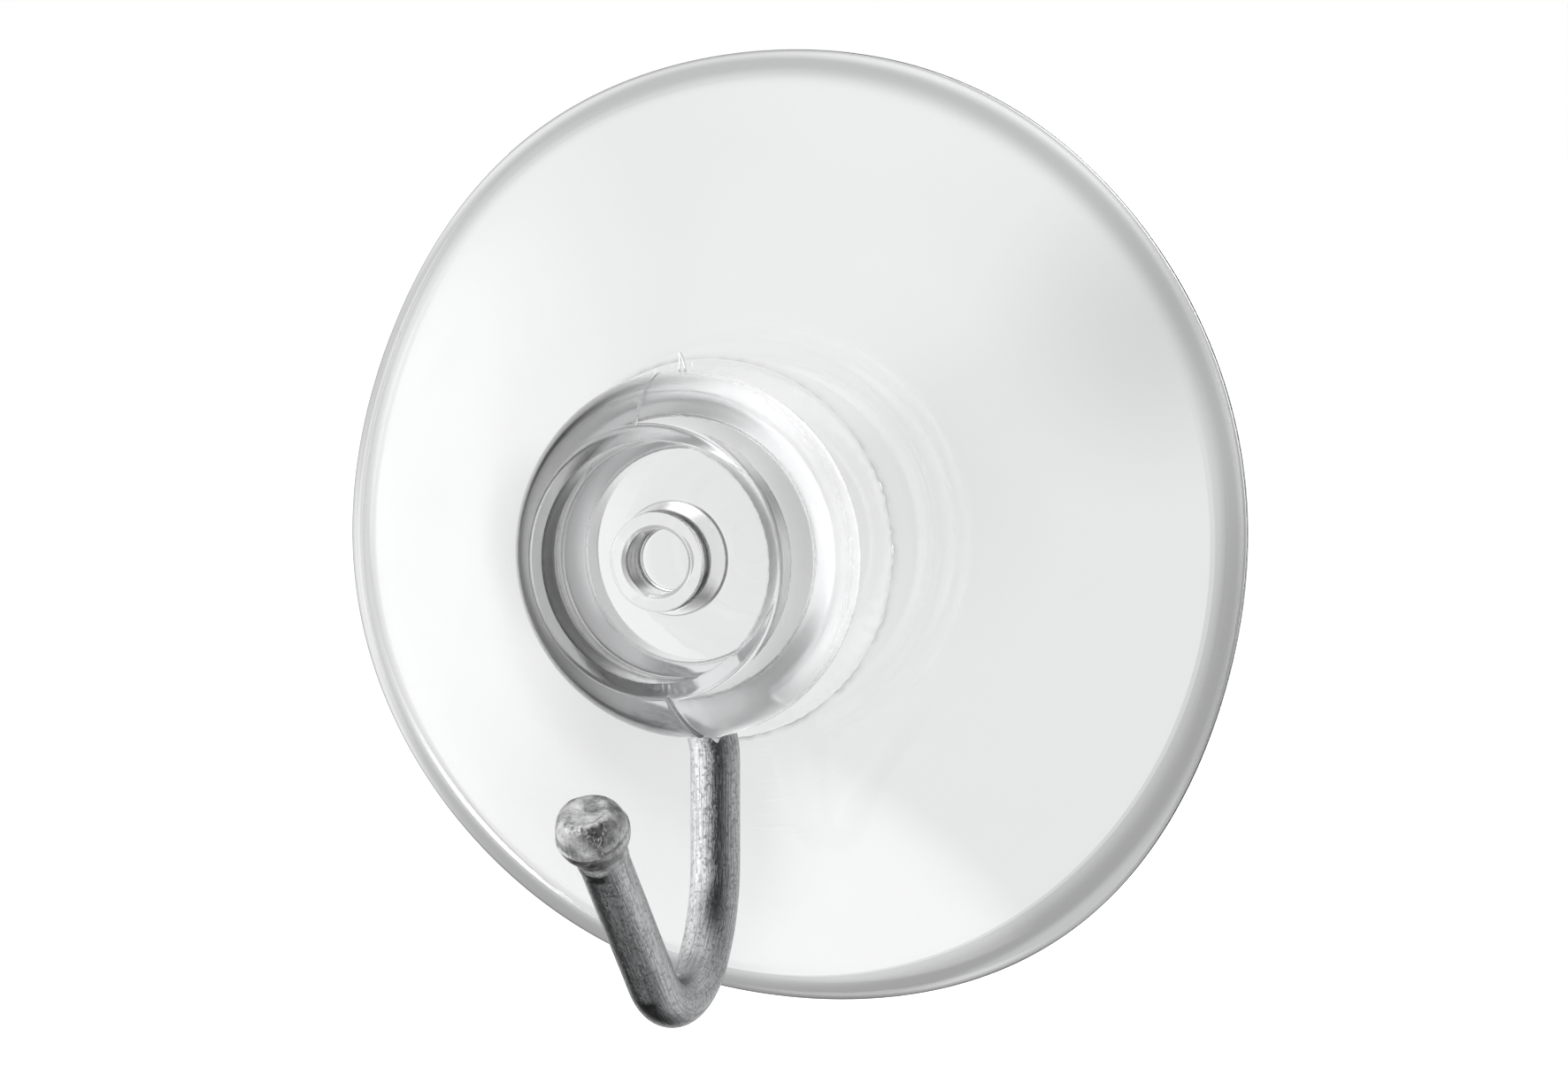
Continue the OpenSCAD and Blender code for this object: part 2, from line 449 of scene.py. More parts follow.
        # Painted shade on the reflections: Specular Tint darkens by the square root of the painted shade.
        painted_reflection_shade = sheet.mixed(sheet.maths("SQRT", painted_shade_share), (0.0, 0.0, 0.0, 1.0), (1.0, 1.0, 1.0, 1.0))
        shader = sheet.add(
            "ShaderNodeBsdfPrincipled",
            {
                "Base Color": colour,
                "Roughness": rough,
                "IOR": self.ior,
                "Transmission Weight": 1.0,
                "Specular Tint": painted_reflection_shade,
                "Normal": bump.outputs[0],
            },
        )
        sheet.add("ShaderNodeOutputMaterial", {"Surface": shader.outputs[0]})
        return material


@dataclass(frozen=True)
class PlatedWire:
    """Bright plated steel with the lengthwise lines of drawn wire, and a dull scuffed tip."""

    scuffs: bpy.types.NodeTree
    fresh: tuple = (0.90, 0.90, 0.90, 1.0)
    bright: tuple = (0.66, 0.67, 0.68, 1.0)
    dull: tuple = (0.21, 0.215, 0.22, 1.0)
    tip_light: tuple = (0.95, 0.95, 0.95, 1.0)
    tip_dark: tuple = (0.22, 0.225, 0.23, 1.0)
    tip_rough: float = 0.36
    polished: float = 0.09
    rubbed: float = 0.22
    line_height: float = 0.000032
    line_stretch: float = 0.016

    def material(self) -> bpy.types.Material:
        """Builds the finish: metal whose colour, roughness and bump follow drawn lines along the wire.

        Returns:
            The material, which reads the wire's own UV map (U once round, V in millimetres along)
            and its attributes "tip", 1 on the upset ball, "sheltered", 1 on the unworn ring, and
            "worn", 1 on the burr's bright edge.
        """
        material, sheet = new_material("plated_drawn_wire")
        uv = sheet.add("ShaderNodeUVMap", uv_map="along_wire").outputs[0]
        place = sheet.add("ShaderNodeTexCoord").outputs["Object"]
        tip = sheet.add("ShaderNodeAttribute", attribute_name="tip").outputs["Fac"]
        sheltered = sheet.add("ShaderNodeAttribute", attribute_name="sheltered").outputs["Fac"]
        worn = sheet.add("ShaderNodeAttribute", attribute_name="worn").outputs["Fac"]
        split = sheet.add("ShaderNodeSeparateXYZ", {0: uv})
        turn = sheet.maths("MULTIPLY", split.outputs[0], 2 * math.pi)
        ring = sheet.add(
            "ShaderNodeCombineXYZ",
            {
                0: sheet.maths("COSINE", turn),
                1: sheet.maths("SINE", turn),
                2: sheet.maths("MULTIPLY", split.outputs[1], self.line_stretch),
            },
        ).outputs[0]
        lines = sheet.add("ShaderNodeTexNoise", {"Vector": ring, "Scale": 27.0, "Detail": 8.0, "Roughness": 0.75})
        pits = sheet.add("ShaderNodeTexNoise", {"Vector": place, "Scale": 5200.0, "Detail": 4.0, "Roughness": 0.7})
        scuffs = sheet.add("ShaderNodeGroup", node_tree=self.scuffs)
        scuffs.inputs["Scale"].default_value = 1300.0
        scuffs.inputs["Amount"].default_value = 1.0
        sheet.tree.links.new(place, scuffs.inputs["Vector"])
        drawn = sheet.spread(lines.outputs[0], 0.49, 0.60, 0.0, 1.0)
        speck = sheet.spread(pits.outputs[0], 0.50, 0.62, 0.0, 1.0)
        wear = sheet.maths("MAXIMUM", sheet.maths("MULTIPLY", drawn, 0.75), sheet.maths("MULTIPLY", speck, 0.6))
        wear = sheet.maths("MULTIPLY", wear, sheet.maths("SUBTRACT", 1.0, sheltered))
        bright = sheet.mixed(sheltered, self.bright, self.fresh)
        colour = sheet.mixed(wear, bright, self.dull)
        burnt = sheet.maths("ADD", scuffs.outputs["Cloud"], sheet.maths("MULTIPLY", scuffs.outputs["Scratch"], -0.6))
        burnt = sheet.maths("MULTIPLY", burnt, sheet.maths("SUBTRACT", 1.0, worn))
        on_tip = sheet.mixed(burnt, self.tip_light, self.tip_dark)
        colour = sheet.mixed(sheet.maths("MULTIPLY", tip, 0.85), colour, on_tip)
        rough = sheet.spread(wear, 0.0, 1.0, self.polished, self.rubbed)
        rough = sheet.spread(tip, 0.0, 1.0, rough, self.tip_rough)
        height = sheet.maths("ADD", lines.outputs[0], sheet.maths("MULTIPLY", pits.outputs[0], 0.35))
        height = sheet.maths("SUBTRACT", height, sheet.maths("MULTIPLY", scuffs.outputs["Scratch"], tip))
        bump = sheet.add("ShaderNodeBump", {"Height": height, "Strength": 0.8, "Distance": self.line_height})
        shader = sheet.add(
            "ShaderNodeBsdfPrincipled",
            {"Base Color": colour, "Roughness": rough, "Metallic": 1.0, "Normal": bump.outputs[0]},
        )
        sheet.add("ShaderNodeOutputMaterial", {"Surface": shader.outputs[0]})
        return material


# The object


@dataclass
class SuctionCup:
    """The clear cup, one moulding. Lengths are in millimetres and heights stand off the wall."""

    rim_r: float = 22.5
    lip_t: float = 0.7
    lip_round: float = 0.75
    land_w: float = 0.45
    hollow_depth: float = 6.0
    shoulder_h: float = 9.65
    skirt_dip: float = 0.55
    shoulder_r: float = 8.55
    parting_h: float = 0.12
    neck_r: float = 4.8
    groove_w: float = 2.45
    head_r: float = 8.275
    head_h: float = 4.45
    face_r: float = 6.05
    head_edge: float = 0.6
    recess_r: float = 5.36
    recess_depth: float = 2.2
    tube_r: float = 2.2
    tube_draft: float = 0.35
    tube_drop: float = 0.15
    pilot_r: float = 1.45
    pilot_depth: float = 1.75
    lead_in: float = 0.22
    longest_step: float = 0.45
    around: int = 264
    # Rim warp, as (waves round the rim, size, angle of the first crest in degrees)
    rim_waves: tuple = ((1, 0.13, 64.0), (2, 0.09, -26.0), (3, 0.20, -49.0), (4, 0.14, 33.0), (6, 0.08, 8.0))
    # The mould's parting marks on the head: bottom notch, nub and top seam, in degrees from +X
    notch_angle: float = -84.0
    nub_angle: float = -80.5
    seam_angle: float = 99.0
    # The hair of flash on top of the head: angle, height of its foot, length and thickness
    hair_angle: float = 91.0
    hair_h: float = 12.9
    hair_l: float = 0.95
    hair_w: float = 0.30
    hair_t: float = 0.045

    @property
    def head_bottom(self) -> float:
        """Height of the head's underside."""
        return self.shoulder_h + self.groove_w

    @property
    def face_h(self) -> float:
        """Height of the front face."""
        return self.head_bottom + self.head_h

    def hollow(self, n: int) -> np.ndarray:
        """The hollow's spherical roof from the axis out to the sealing land."""
        reach = self.rim_r - self.lip_t / 2 - self.land_w
        big = (reach**2 + self.hollow_depth**2) / (2 * self.hollow_depth)
        r = np.linspace(0.0, reach, n + 1)
        return np.stack([r, np.sqrt(big**2 - r**2) - big + self.hollow_depth], axis=1)

    def lip(self, n: int) -> np.ndarray:
        """The rim's lip: a small lower edge, then a quarter ellipse up to the skirt."""
        t = np.radians(np.linspace(0.0, 85.0, n + 1))
        low = self.lip_t * 0.25
        r = self.rim_r - self.lip_round * (1 - np.cos(t))
        upper = np.stack([r, low + (self.lip_t - low) * np.sin(t)], axis=1)
        return np.concatenate([arc((self.rim_r - low, low), low, -90, 0, 6), upper])

    def section(self) -> np.ndarray:
        """One half section, from the hollow's centre round the rim, skirt, neck and head to the hole's floor.

        Returns:
            An (n, 2) array of (radius, height).
        """
        low, top, head = self.shoulder_h, self.face_h, self.head_bottom
        floor, tube_top = top - self.recess_depth, top - self.tube_drop
        root = self.tube_r + self.tube_draft
        bead = self.shoulder_r + self.parting_h
        edge = self.head_edge
        skirt = dipped((self.rim_r - self.lip_round, self.lip_t), (bead, low - 0.12), -self.skirt_dip, 44)
        shoulder = rounded(
            [
                (*skirt[-1], 0),
                (bead - 0.02, low, 0.06),
                (self.neck_r, low, 0.35),
                (self.neck_r, head, 0.25),
                (self.head_r - edge, head, 0.0),
            ]
        )
        side = dipped((self.head_r - 0.02, head + 1.3 * edge), (self.face_r, top), 0.3, 22)
        front = rounded(
            [
                (*side[-2], 0),
                (self.face_r, top, 0.18),
                (self.recess_r, top, 0.10),
                (self.recess_r - 0.03, floor, 0.14),
                (root, floor, 0.22),
                (self.tube_r, tube_top, 0.10),
                (self.pilot_r + self.lead_in, tube_top, 0.06),
                (self.pilot_r, tube_top - self.lead_in, 0.08),
                (self.pilot_r, tube_top - self.pilot_depth, 0.3),
                (0.0, tube_top - self.pilot_depth, 0.0),
            ]
        )
        parts = [
            self.hollow(48),
            self.lip(18),
            skirt,
            shoulder,
            arc((self.head_r - edge, head + edge), edge, -90, 0, 10),
            side[:-2],
            front,
        ]
        return split_long(without_repeats(np.concatenate(parts)), self.longest_step)

    def angles(self) -> np.ndarray:
        """Angles of the grid's columns: even round the cup, and packed close at the mould marks."""
        even = np.linspace(0.0, 360.0, self.around, endpoint=False)
        close = np.linspace(-3.0, 3.0, 21)
        marks = [(a + close) % 360 for a in (self.notch_angle, self.seam_angle)]
        return np.unique(np.round(np.concatenate([even, *marks]), 3))

    def shaped(self, section: np.ndarray, deg: np.ndarray) -> np.ndarray:
        """Carries the section round the axis and lays the moulding's irregularities on it.

        The rim swells and shrinks by a sum of cosines of the angle, faded in towards the rim. The
        notch and the seam are bells across the angle, on the head's side only. Flash on the parting
        ring is a product of sines that rises and falls in short dashes.

        Args:
            section: (radius, height) rows.
            deg: column angles in degrees.

        Returns:
            A (rows, columns, 3) array of points.
        """
        r, h = section[:, :1], section[:, 1:]
        th = np.radians(deg)[None, :]
        warp = sum(size * np.cos(k * (th - math.radians(at))) for k, size, at in self.rim_waves)
        rim_share = smooth_step(r, self.shoulder_r, self.rim_r) ** 2 * (h < self.shoulder_h - 0.5)
        on_side = smooth_step(h, self.head_bottom + 0.05, self.head_bottom + 0.5)
        on_side = on_side * smooth_step(r, self.face_r - 0.2, self.face_r + 0.3)
        notch = bump_at(deg, self.notch_angle % 360, 0.75)[None, :]
        seam = bump_at(deg, self.seam_angle % 360, 0.45)[None, :]
        dashes = np.clip(np.sin(7 * th + 1) * np.sin(61 * th) + 0.15 * np.sin(173 * th), 0, 1)
        at_bead = bump_at(r, self.shoulder_r + 0.05, 0.07) * bump_at(h, self.shoulder_h, 0.08)
        nub = bump_at(deg, self.nub_angle % 360, 1.1)[None, :] * bump_at(h, self.head_bottom + 0.5, 0.3)
        at_mouth = bump_at(r, self.recess_r + 0.05, 0.12) * bump_at(h, self.face_h, 0.15)
        ragged = np.sin(37 * th + 2) * np.sin(83 * th) + 0.6 * np.sin(151 * th + 1)
        radius = r + rim_share * warp + 0.05 * at_bead * dashes + 0.018 * at_mouth * ragged
        shown = smooth_step(np.sin(29 * th) * np.sin(47 * th), -0.10, 0.15)
        shown = shown * smooth_step(np.cos(th + math.radians(25)), 0.30, 0.70)
        radius = radius - 0.11 * at_bead * (1 - shown)
        radius = radius + on_side * (-0.30 * notch - 0.06 * seam) + (r > self.face_r) * 0.30 * nub
        radius = radius * (r > 0)
        wave = 0.10 * rim_share * (h > 0.2) * np.cos(3 * th + 0.5)
        height = h + wave + 0.07 * at_bead * dashes + 0.012 * at_mouth * np.sin(113 * th)
        return np.stack([radius * np.cos(th), -height * np.ones_like(th), radius * np.sin(th)], axis=-1)

    def body_mesh(self) -> tuple[np.ndarray, list]:
        """The revolved body as points and faces, closed at the hollow's centre and the hole's floor."""
        section, deg = self.section(), self.angles()
        grid = self.shaped(section, deg)
        inner = grid[1:-1].reshape(-1, 3)
        rows, cols = len(section) - 2, len(deg)
        points = np.concatenate([inner, grid[:1, 0], grid[-1:, 0]])
        start, end = np.arange(cols), (rows - 1) * cols + np.arange(cols)
        faces = ring_grid_faces(rows, cols)
        faces += fan_faces(len(inner), start, flip=True) + fan_faces(len(inner) + 1, end, flip=False)
        return points, faces

    def hair_mesh(self, first: int) -> tuple[np.ndarray, list]:
        """A thin loop of flash that stands on the head: a tube along a narrow arch with both feet sunk in.

        Args:
            first: index that the tube's first point will have.

        Returns:
            Points in millimetres and faces.
        """
        t = np.linspace(0.0, 1.0, 25)[:, None]
        a = math.radians(self.hair_angle)
        out = np.array([math.cos(a), 0.0, math.sin(a)])
        across = np.array([-math.sin(a), 0.0, math.cos(a)])
        rise = self.hair_l * np.sin(np.pi * t) ** 0.6 - 0.15
        lean = self.hair_w * (t - 0.5) * (1 - 0.5 * np.sin(np.pi * t)) + 0.12 * np.sin(np.pi * t) ** 2
        foot = out * self.head_r - np.array([0.0, self.hair_h, 0.0])
        path = foot + out * rise + across * lean
        way = np.gradient(path, axis=0)
        way /= np.linalg.norm(way, axis=1)[:, None]
        side = np.cross(way, [0.0, -1.0, 0.0])
        turn = np.linspace(0, 2 * np.pi, 8, endpoint=False)[None, :, None]
        tube = path[:, None] + self.hair_t * (np.cos(turn) * side[:, None] + np.sin(turn) * np.array([0.0, -1.0, 0.0]))
        points = np.concatenate([tube.reshape(-1, 3), path[:1], path[-1:]])
        rows, cols = tube.shape[:2]
        faces = ring_grid_faces(rows, cols, first)
        faces += fan_faces(first + rows * cols, first + np.arange(cols), flip=True)
        faces += fan_faces(first + rows * cols + 1, first + (rows - 1) * cols + np.arange(cols), flip=False)
        return points, faces

    def build(self, material: bpy.types.Material) -> bpy.types.Object:
        """Makes the cup's piece, which stands for the plain moulding of the frame."""
        points, faces = self.body_mesh()
        hair_points, hair_faces = self.hair_mesh(len(points))
        points, faces = np.concatenate([points, hair_points]), faces + hair_faces
        cup = mesh_object("clear_cup", points, faces)
        cup.data.materials.append(material)
        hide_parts("suction_cup")
        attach(cup, Body.CUP.value)
        LOG.info("%s: %d points, %d faces", cup.name, len(points), len(faces))
        return cup


@dataclass
class WireHook:
    """The bent wire: ring, bend, shank, hook and upset ball. Lengths are in millimetres."""

    wire_r: float = 1.125
    ring_r: float = 6.005
    ring_h: float = 10.875
    ring_end: float = 60.0
    neck_bend_r: float = 4.0
    shank_x: float = 0.6
    shank_l: float = 4.7
    back_bend_r: float = 6.8
    back_bend_a: float = 37.0
    low_bend_r: float = 3.95
    leg_a: float = 49.0
    leg_l: float = 10.1
    ball_r: float = 1.65
    shear_off: float = 1.2
    # The upset end's dressing: blend and collar at its neck, tilt, relief and burr of the sheared face
    neck_blend: float = 0.12
    collar_t: float = 0.05
    end_round: float = 0.12
    shear_tilt: float = 0.12
    shear_relief: float = 0.05
    burr_h: float = 0.16
    # The tool's nick inside the low bend: share of the bend before it, and depth
    nick_share: float = 0.3
    nick_depth: float = 0.10
    step: float = 0.16
    around: int = 96
    face_rings: int = 16

    @property
    def bend_x(self) -> float:
        """Distance of the neck bend's centre from the cup's axis."""
        return self.shank_x - self.neck_bend_r

    @property
    def bend_drop(self) -> float:
        """Drop of the neck bend's centre below the axis, where both circles touch."""
        return math.sqrt((self.ring_r + self.neck_bend_r) ** 2 - self.bend_x**2)

    def stretches(self) -> list[tuple[float, Callable]]:
        """The centreline's stretches from the ring's free end to the ball, each as length and formula.

        Returns:
            (length, function of distance along it) pairs. Each function gives points, directions
            and one side vector that stays square to the wire.
        """
        join = math.radians(180) + math.atan2(self.bend_drop, -self.bend_x)
        out = -self.ring_h

        def flat_arc(cx: float, cz: float, r: float, a: float, way: float) -> Callable:
            """A circle in the ring's plane, starting at angle a, anticlockwise where way is 1."""

            def at(s: np.ndarray) -> tuple:
                """Points, directions and sides at distances s."""
                t = a + way * s / r
                p = np.stack([cx + r * np.cos(t), np.full_like(t, out), cz + r * np.sin(t)], 1)
                d = way * np.stack([-np.sin(t), 0 * t, np.cos(t)], 1)
                return p, d, np.tile([0.0, -1.0, 0.0], (len(t), 1))

            return at

        def upright(y: float, z: float, bearing: Callable) -> Callable:
            """A stretch in the hook's own plane: y is the distance out, bearing gives (y, z, turn)."""

            def at(s: np.ndarray) -> tuple:
                """Points, directions and sides at distances s."""
                dy, dz, turn = bearing(s)
                p = np.stack([np.full_like(s, self.shank_x), out - (y + dy), z + dz], 1)
                d = np.stack([0 * s, -np.sin(turn), -np.cos(turn)], 1)
                n = np.stack([0 * s, -np.cos(turn), np.sin(turn)], 1)
                return p, d, n

            return at

        def straight(turn: float) -> Callable:
            """A straight run whose direction is turned by turn from straight down."""
            return lambda s: (s * math.sin(turn), -s * math.cos(turn), np.full_like(s, turn))

        def curve(r: float, turn: float) -> Callable:
            """A bend of radius r that starts turned by turn from straight down."""
            return lambda s: (
                r * (math.cos(turn) - np.cos(turn + s / r)),
                -r * (np.sin(turn + s / r) - math.sin(turn)),
                turn + s / r,
            )

        back, low = math.radians(self.back_bend_a), math.radians(90 - self.back_bend_a + self.leg_a)
        runs = [
            (self.shank_l, straight(0.0)),
            (self.back_bend_r * back, curve(self.back_bend_r, 0.0)),
            (self.low_bend_r * low, curve(self.low_bend_r, back)),
            (self.leg_l + self.shear_off, straight(back + low)),
        ]
        result = [
            (self.ring_r * (join + math.radians(self.ring_end)),
             flat_arc(0.0, 0.0, self.ring_r, -math.radians(self.ring_end), 1.0)),
            (self.neck_bend_r * (join - math.pi),
             flat_arc(self.bend_x, -self.bend_drop, self.neck_bend_r, join - math.pi, -1.0)),
        ]
        y, z = 0.0, -self.bend_drop
        for length, bearing in runs:
            result.append((length, upright(y, z, bearing)))
            dy, dz, _ = bearing(np.array([length]))
            y, z = y + dy[0], z + dz[0]
        return result

    def path(self) -> tuple[np.ndarray, np.ndarray, np.ndarray, np.ndarray]:
        """The whole centreline, sampled closely and closer still on the ball.

        Returns:
            Distances along the wire, points, directions and side vectors.
        """
        runs = self.stretches()
        ends = np.cumsum([0.0] + [length for length, _ in runs])
        parts = []
        for i, (length, at) in enumerate(runs):
            fine = i == len(runs) - 1
            s = np.linspace(0.0, length, int(length / self.step) + 2)
            if fine:
                ball = self.leg_l - self.ball_r * 1.3
                s = np.r_[np.arange(0, ball, self.step), np.linspace(ball, length, 46)]
            s = s if fine else s[:-1]
            parts.append((ends[i] + s, *at(s)))
        return tuple(np.concatenate([p[k] for p in parts]) for k in range(4))

    def radius(self, s: np.ndarray, total: float) -> np.ndarray:
        """The wire's radius along its length: plain, swelling into the ball by a smooth maximum.

        The ball is the circle of radius ball_r round its centre. A smooth maximum of that and the
        wire gives the small blend at the ball's neck, and a low bell before it is the dull collar.
        The last steps round over to the sheared end.

        Args:
            s: distances along the wire.
            total: the wire's whole length.

        Returns:
            The radius at each distance.
        """
        x = s - (total - self.shear_off)
        ball = np.sqrt(np.clip(self.ball_r**2 - x**2, 0, None))
        wire = np.where(x < 0, self.wire_r, 0.0)
        blend = (ball + wire + np.sqrt((ball - wire) ** 2 + self.neck_blend**2)) / 2
        blend = blend - (self.neck_blend / 2) * (x >= 0)
        plain = np.where(x < -1.6 * self.ball_r, self.wire_r, blend)
        collar = self.collar_t * bump_at(x, -1.02 * self.ball_r, 0.3)
        start = rounding(s, self.end_round)
        end = rounding(total - s, self.end_round)
        return plain + collar - start - end

    def sheared(self, u: np.ndarray, v: np.ndarray) -> np.ndarray:
        """How far the sheared end stands out at (u, v) across it: a tilted plane with a worn relief."""
        relief = 0.5 * np.sin(3.1 * u + 1.0) * np.sin(2.3 * v + 0.4) + 0.3 * np.sin(6.7 * u - 4.1 * v)
        return self.shear_tilt * (0.62 * v - 0.78 * u) + self.shear_relief * relief

    def burr(self, a: np.ndarray) -> np.ndarray:
        """The burr's height round the end face: raised and chipped along its lower right edge."""
        along = smooth_step(a, math.radians(95), math.radians(130))
        along = along * (1 - smooth_step(a, math.radians(255), math.radians(290)))
        return self.burr_h * along * (0.65 + 0.35 * np.sin(8 * a) * np.sin(21 * a + 1))

    def skin(self) -> tuple[np.ndarray, np.ndarray, np.ndarray, np.ndarray]:
        """The wire's whole surface as rings of points, from the ring's free end to the sheared face.

        Returns:
            (rings, around, 3) points, the distance along the wire at each ring, the angles, and
            how bright each point is worn.
        """
        s, p, d, n = self.path()
        side = np.cross(d, n)
        total = s[-1]
        r = self.radius(s, total)
        a = np.linspace(0, 2 * np.pi, self.around, endpoint=False)
        dent = self.nick_depth * bump_at(s, self.nick_at(), 0.45)[:, None] * bump_at(a, 0.45, 0.35)[None]
        reach = r[:, None] - dent
        shrink = np.linspace(1.0, 0.04, self.face_rings + 1)[1:, None]
        reach = np.concatenate([reach, reach[-1:] * shrink])
        extra = [np.repeat(v[-1:], self.face_rings, axis=0) for v in (p, d, n, side)]
        p, d, n, side = (np.concatenate([v, e]) for v, e in zip((p, d, n, side), extra))
        s = np.r_[s, np.full(self.face_rings, total)]
        u, v = reach * np.cos(a), reach * np.sin(a)
        shear = smooth_step(s - total + self.shear_off, 0.5 * self.shear_off, self.shear_off)[:, None]
        edge = bump_at(reach, r[-1] + 0.02, 0.16) * shear
        lift = shear * self.sheared(u, v) + edge * self.burr(a)[None]
        points = p[:, None] + u[..., None] * n[:, None] + v[..., None] * side[:, None] + lift[..., None] * d[:, None]
        worn = np.clip(edge * self.burr(a)[None] / self.burr_h, 0.0, 1.0)
        return points, s, a, worn

    def nick_at(self) -> float:
        """Distance along the wire of the tool's nick, inside the low bend."""
        lengths = [length for length, _ in self.stretches()]
        return sum(lengths[:4]) + self.nick_share * lengths[4]

    def dress(
        self, mesh: bpy.types.Mesh, along: np.ndarray, around: np.ndarray, worn: np.ndarray, total: float
    ) -> None:
        """Writes the UV map (once round, millimetres along) and the masks of the ball, the ring and the burr."""
        loops = np.zeros(len(mesh.loops), np.int32)
        mesh.loops.foreach_get("vertex_index", loops)
        uv = np.stack([around[loops], along[loops]], axis=1)
        layer = mesh.uv_layers.new(name="along_wire")
        layer.data.foreach_set("uv", uv.astype(np.float32).ravel())
        x = along - (total - self.shear_off)
        tip = smooth_step(x, -1.1 * self.ball_r, -0.75 * self.ball_r)
        ring = sum(length for length, _ in self.stretches()[:1])
        sheltered = 1 - smooth_step(along, ring - 1.0, ring + 1.0)
        for name, value in (("tip", tip), ("sheltered", sheltered), ("worn", worn)):
            mesh.attributes.new(name, "FLOAT", "POINT").data.foreach_set("value", value.astype(np.float32))

    def build(self, material: bpy.types.Material) -> bpy.types.Object:
        """Makes the wire's piece, which stands for the plain wire of the frame."""
        rings, s, a, worn = self.skin()
        rows, cols = rings.shape[:2]
        points = np.concatenate([rings.reshape(-1, 3), rings[:1].mean(axis=1), rings[-1:].mean(axis=1)])
        faces = ring_grid_faces(rows, cols)
        faces += fan_faces(rows * cols, np.arange(cols), flip=True)
        faces += fan_faces(rows * cols + 1, (rows - 1) * cols + np.arange(cols), flip=False)
        hook = mesh_object("bent_wire", points, faces)
        along = np.r_[np.repeat(s, cols), s[0], s[-1]]
        around = np.r_[np.tile(a / (2 * np.pi), rows), 0.5, 0.5]
        self.dress(hook.data, along, around, np.r_[worn.ravel(), 0.0, 0.0], s[-1])
        hook.data.materials.append(material)
        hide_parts("wire_hook")
        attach(hook, Body.HOOK.value)
        LOG.info("%s: %d points, %.1f mm of wire", hook.name, len(points), s[-1])
        return hook


# The studio


@dataclass(frozen=True)
class Panel:
    """One soft round panel of light in the world, seen in one direction from the object.

    Azimuth runs from the front (-Y) towards +X. The panel is full within its inner angle and fades
    out at its outer one. All angles are in degrees. It has one strength for light that comes through
    the clear plastic and one for light that is mirrored straight off a surface.
    """

    azimuth: float
    elevation: float
    inner: float
    outer: float
    through: float
    mirrored: float

    def towards(self) -> Vector:
        """The direction from the object to the panel's centre."""
        a, e = math.radians(self.azimuth), math.radians(self.elevation)
        return Vector((math.sin(a) * math.cos(e), -math.cos(a) * math.cos(e), math.sin(e)))

    def share(self, sheet: NodeSheet, way: bpy.types.NodeSocket) -> bpy.types.NodeSocket:
        """1 where a direction points into the panel and 0 outside it."""
        dot = sheet.add("ShaderNodeVectorMath", {0: way, 1: tuple(self.towards())}, operation="DOT_PRODUCT")
        full, gone = math.cos(math.radians(self.inner)), math.cos(math.radians(self.outer))
        return sheet.spread(dot.outputs["Value"], gone, full, 0.0, 1.0)


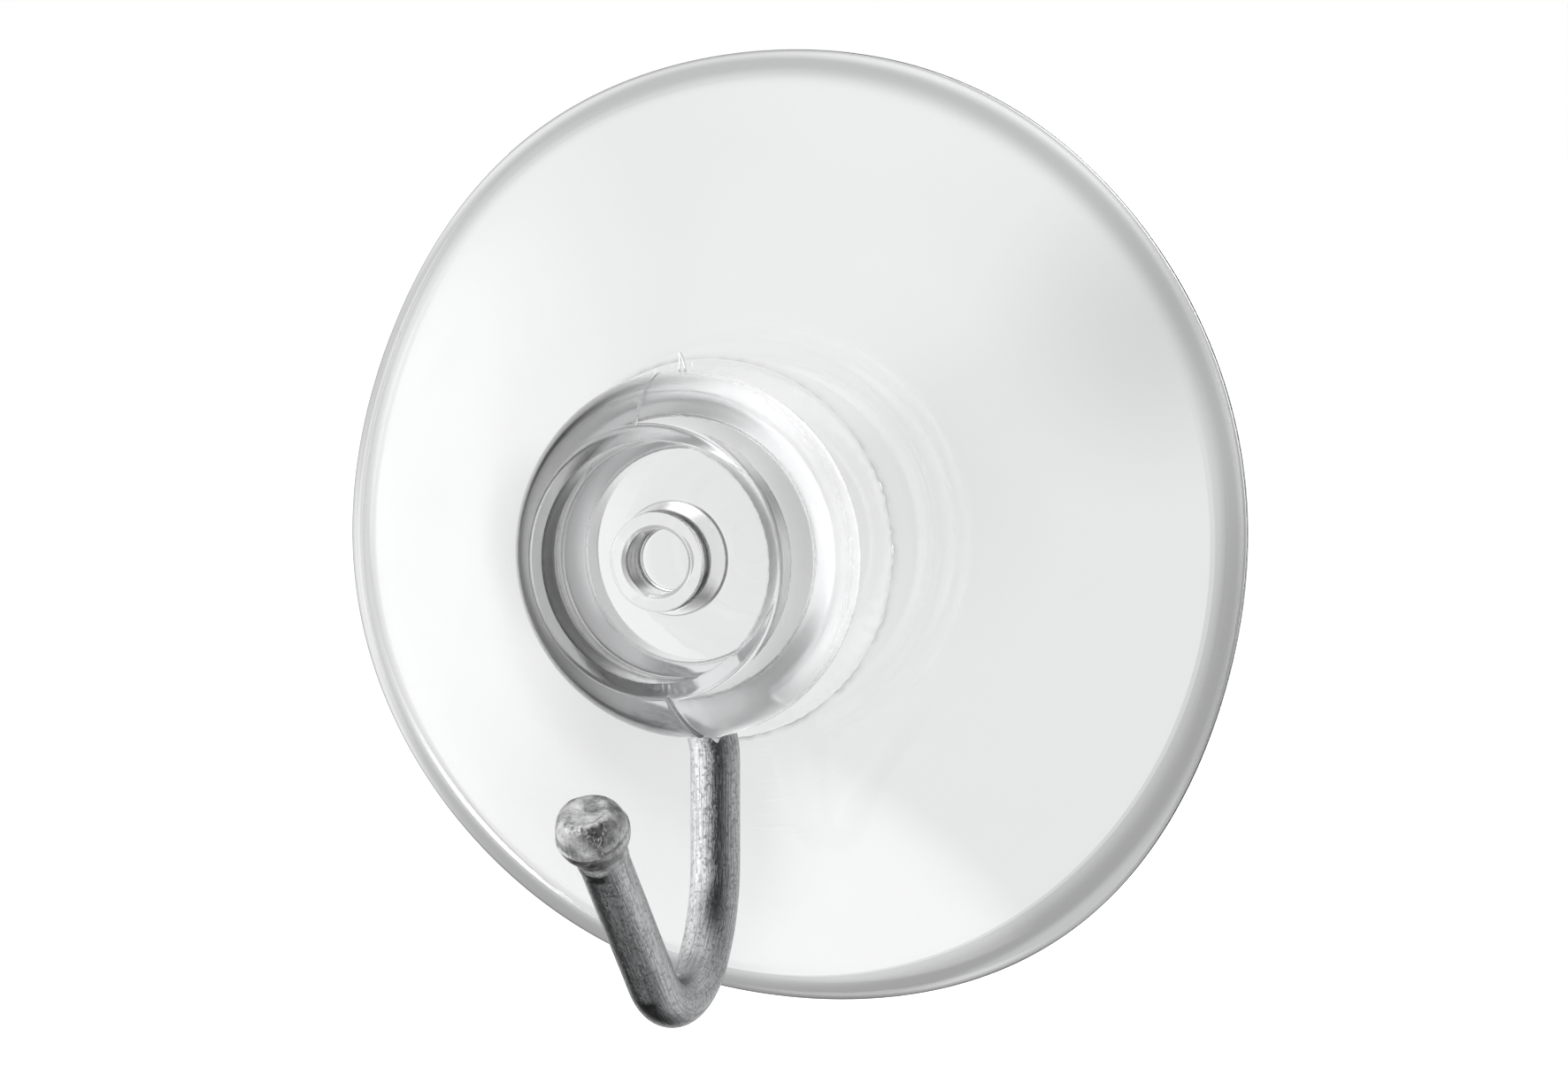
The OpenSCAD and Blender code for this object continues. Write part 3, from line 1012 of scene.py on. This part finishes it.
@dataclass
class Studio:
    """Camera, pale floor, world and soft lights. Lengths are in metres."""

    look_at: tuple = (-0.000294, 0.0, -0.000304)
    azimuth: float = 21.24
    elevation: float = 5.176
    distance: float = 0.26
    focal_px: float = 6259.4
    sensor_mm: float = 36.0
    floor_drop: float = 0.075
    floor_size: float = 8.0
    white: float = 1.0
    room_through: float = 0.60
    room_mirrored: float = 0.025
    panels: tuple = (
        Panel(201.24, -5.2, 16, 34, 0.27, 0.78),
        Panel(174.0, -5.0, 6, 15, -0.15, 0.0),
        Panel(95.0, 0.0, 25, 50, 0.65, 0.0),
        Panel(-72.0, -22.0, 30, 50, 1.9, 0.0),
        Panel(-125.0, 47.0, 10, 32, -0.20, 0.0),
        Panel(-82.0, 5.0, 20, 50, 0.0, 1.5),
        Panel(-44.0, -3.0, 1, 14, 0.0, 4.4),
        Panel(0.0, 85.0, 25, 55, 0.4, 1.0),
        Panel(-20.0, -63.0, 6, 20, 0.0, 2.7),
        Panel(125.0, -20.0, 25, 50, 0.0, 0.75),
    )

    def towards(self) -> Vector:
        """Direction from the object to the camera."""
        a, e = math.radians(self.azimuth), math.radians(self.elevation)
        return Vector((math.sin(a) * math.cos(e), -math.cos(a) * math.cos(e), math.sin(e)))

    def camera(self) -> None:
        """Puts the camera at the photograph's viewing angle."""
        data = bpy.data.cameras.new("camera")
        data.sensor_width = self.sensor_mm
        data.lens = self.focal_px * self.sensor_mm / FRAME_WIDTH_PX
        data.clip_start, data.clip_end = 0.01, 50.0
        cam = bpy.data.objects.new("camera", data)
        bpy.context.scene.collection.objects.link(cam)
        cam.location = Vector(self.look_at) + self.towards() * self.distance
        cam.rotation_mode = "QUATERNION"
        cam.rotation_quaternion = (-self.towards()).to_track_quat("-Z", "Y")
        bpy.context.scene.camera = cam

    def floor(self) -> None:
        """A plain pale floor below the object."""
        half, z = self.floor_size / 2, -self.floor_drop
        mesh = bpy.data.meshes.new("floor")
        mesh.from_pydata([(-half, -half, z), (half, -half, z), (half, half, z), (-half, half, z)], [], [(0, 1, 2, 3)])
        floor = bpy.data.objects.new("floor", mesh)
        bpy.context.scene.collection.objects.link(floor)
        material, sheet = new_material("pale_floor")
        shader = sheet.add(
            "ShaderNodeBsdfPrincipled",
            {
                "Base Color": (0.8, 0.8, 0.8, 1.0),
                "Roughness": 0.8,
                "Emission Color": (1.0, 1.0, 1.0, 1.0),
                "Emission Strength": self.white,
            },
        )
        sheet.add("ShaderNodeOutputMaterial", {"Surface": shader.outputs[0]})
        mesh.materials.append(material)
        floor.visible_glossy = False
        floor.visible_transmission = False

    def world(self) -> None:
        """A white sweep for the camera, and for every other ray a dim room with soft panels."""
        world = bpy.data.worlds.new("studio")
        bpy.context.scene.world = world
        world.use_nodes = True
        sheet = NodeSheet(world.node_tree)
        way = sheet.add("ShaderNodeTexCoord").outputs["Generated"]

        path = sheet.add("ShaderNodeLightPath")
        past = path.outputs["Is Transmission Ray"]

        def pick(through: float, mirrored: float) -> bpy.types.NodeSocket:
            """The first value for light through the plastic, and the second for mirrored light."""
            return sheet.spread(past, 0.0, 1.0, mirrored, through)

        light = pick(self.room_through, self.room_mirrored)
        for panel in self.panels:
            part = sheet.maths("MULTIPLY", panel.share(sheet, way), pick(panel.through, panel.mirrored))
            light = sheet.maths("ADD", light, part)
        strength = sheet.add(
            "ShaderNodeMix", {0: path.outputs["Is Camera Ray"], 2: light, 3: self.white}, data_type="FLOAT"
        ).outputs[0]
        back = sheet.add("ShaderNodeBackground", {"Color": (1.0, 1.0, 1.0, 1.0), "Strength": strength})
        sheet.add("ShaderNodeOutputWorld", {"Surface": back.outputs[0]})

    def build(self) -> None:
        """Builds the whole studio."""
        self.camera()
        self.floor()
        self.world()
        bpy.context.scene.view_settings.view_transform = "Standard"


def main() -> None:
    """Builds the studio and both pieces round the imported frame, and notes the sizes."""
    logging.basicConfig(level=logging.INFO, format="%(message)s")
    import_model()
    Studio().build()
    scuffs = scuff_group()
    SuctionCup().build(ClearPlastic(scuffs).material())
    WireHook().build(PlatedWire(scuffs).material())
    bpy.context.view_layer.update()


if __name__ == "__main__":
    main()
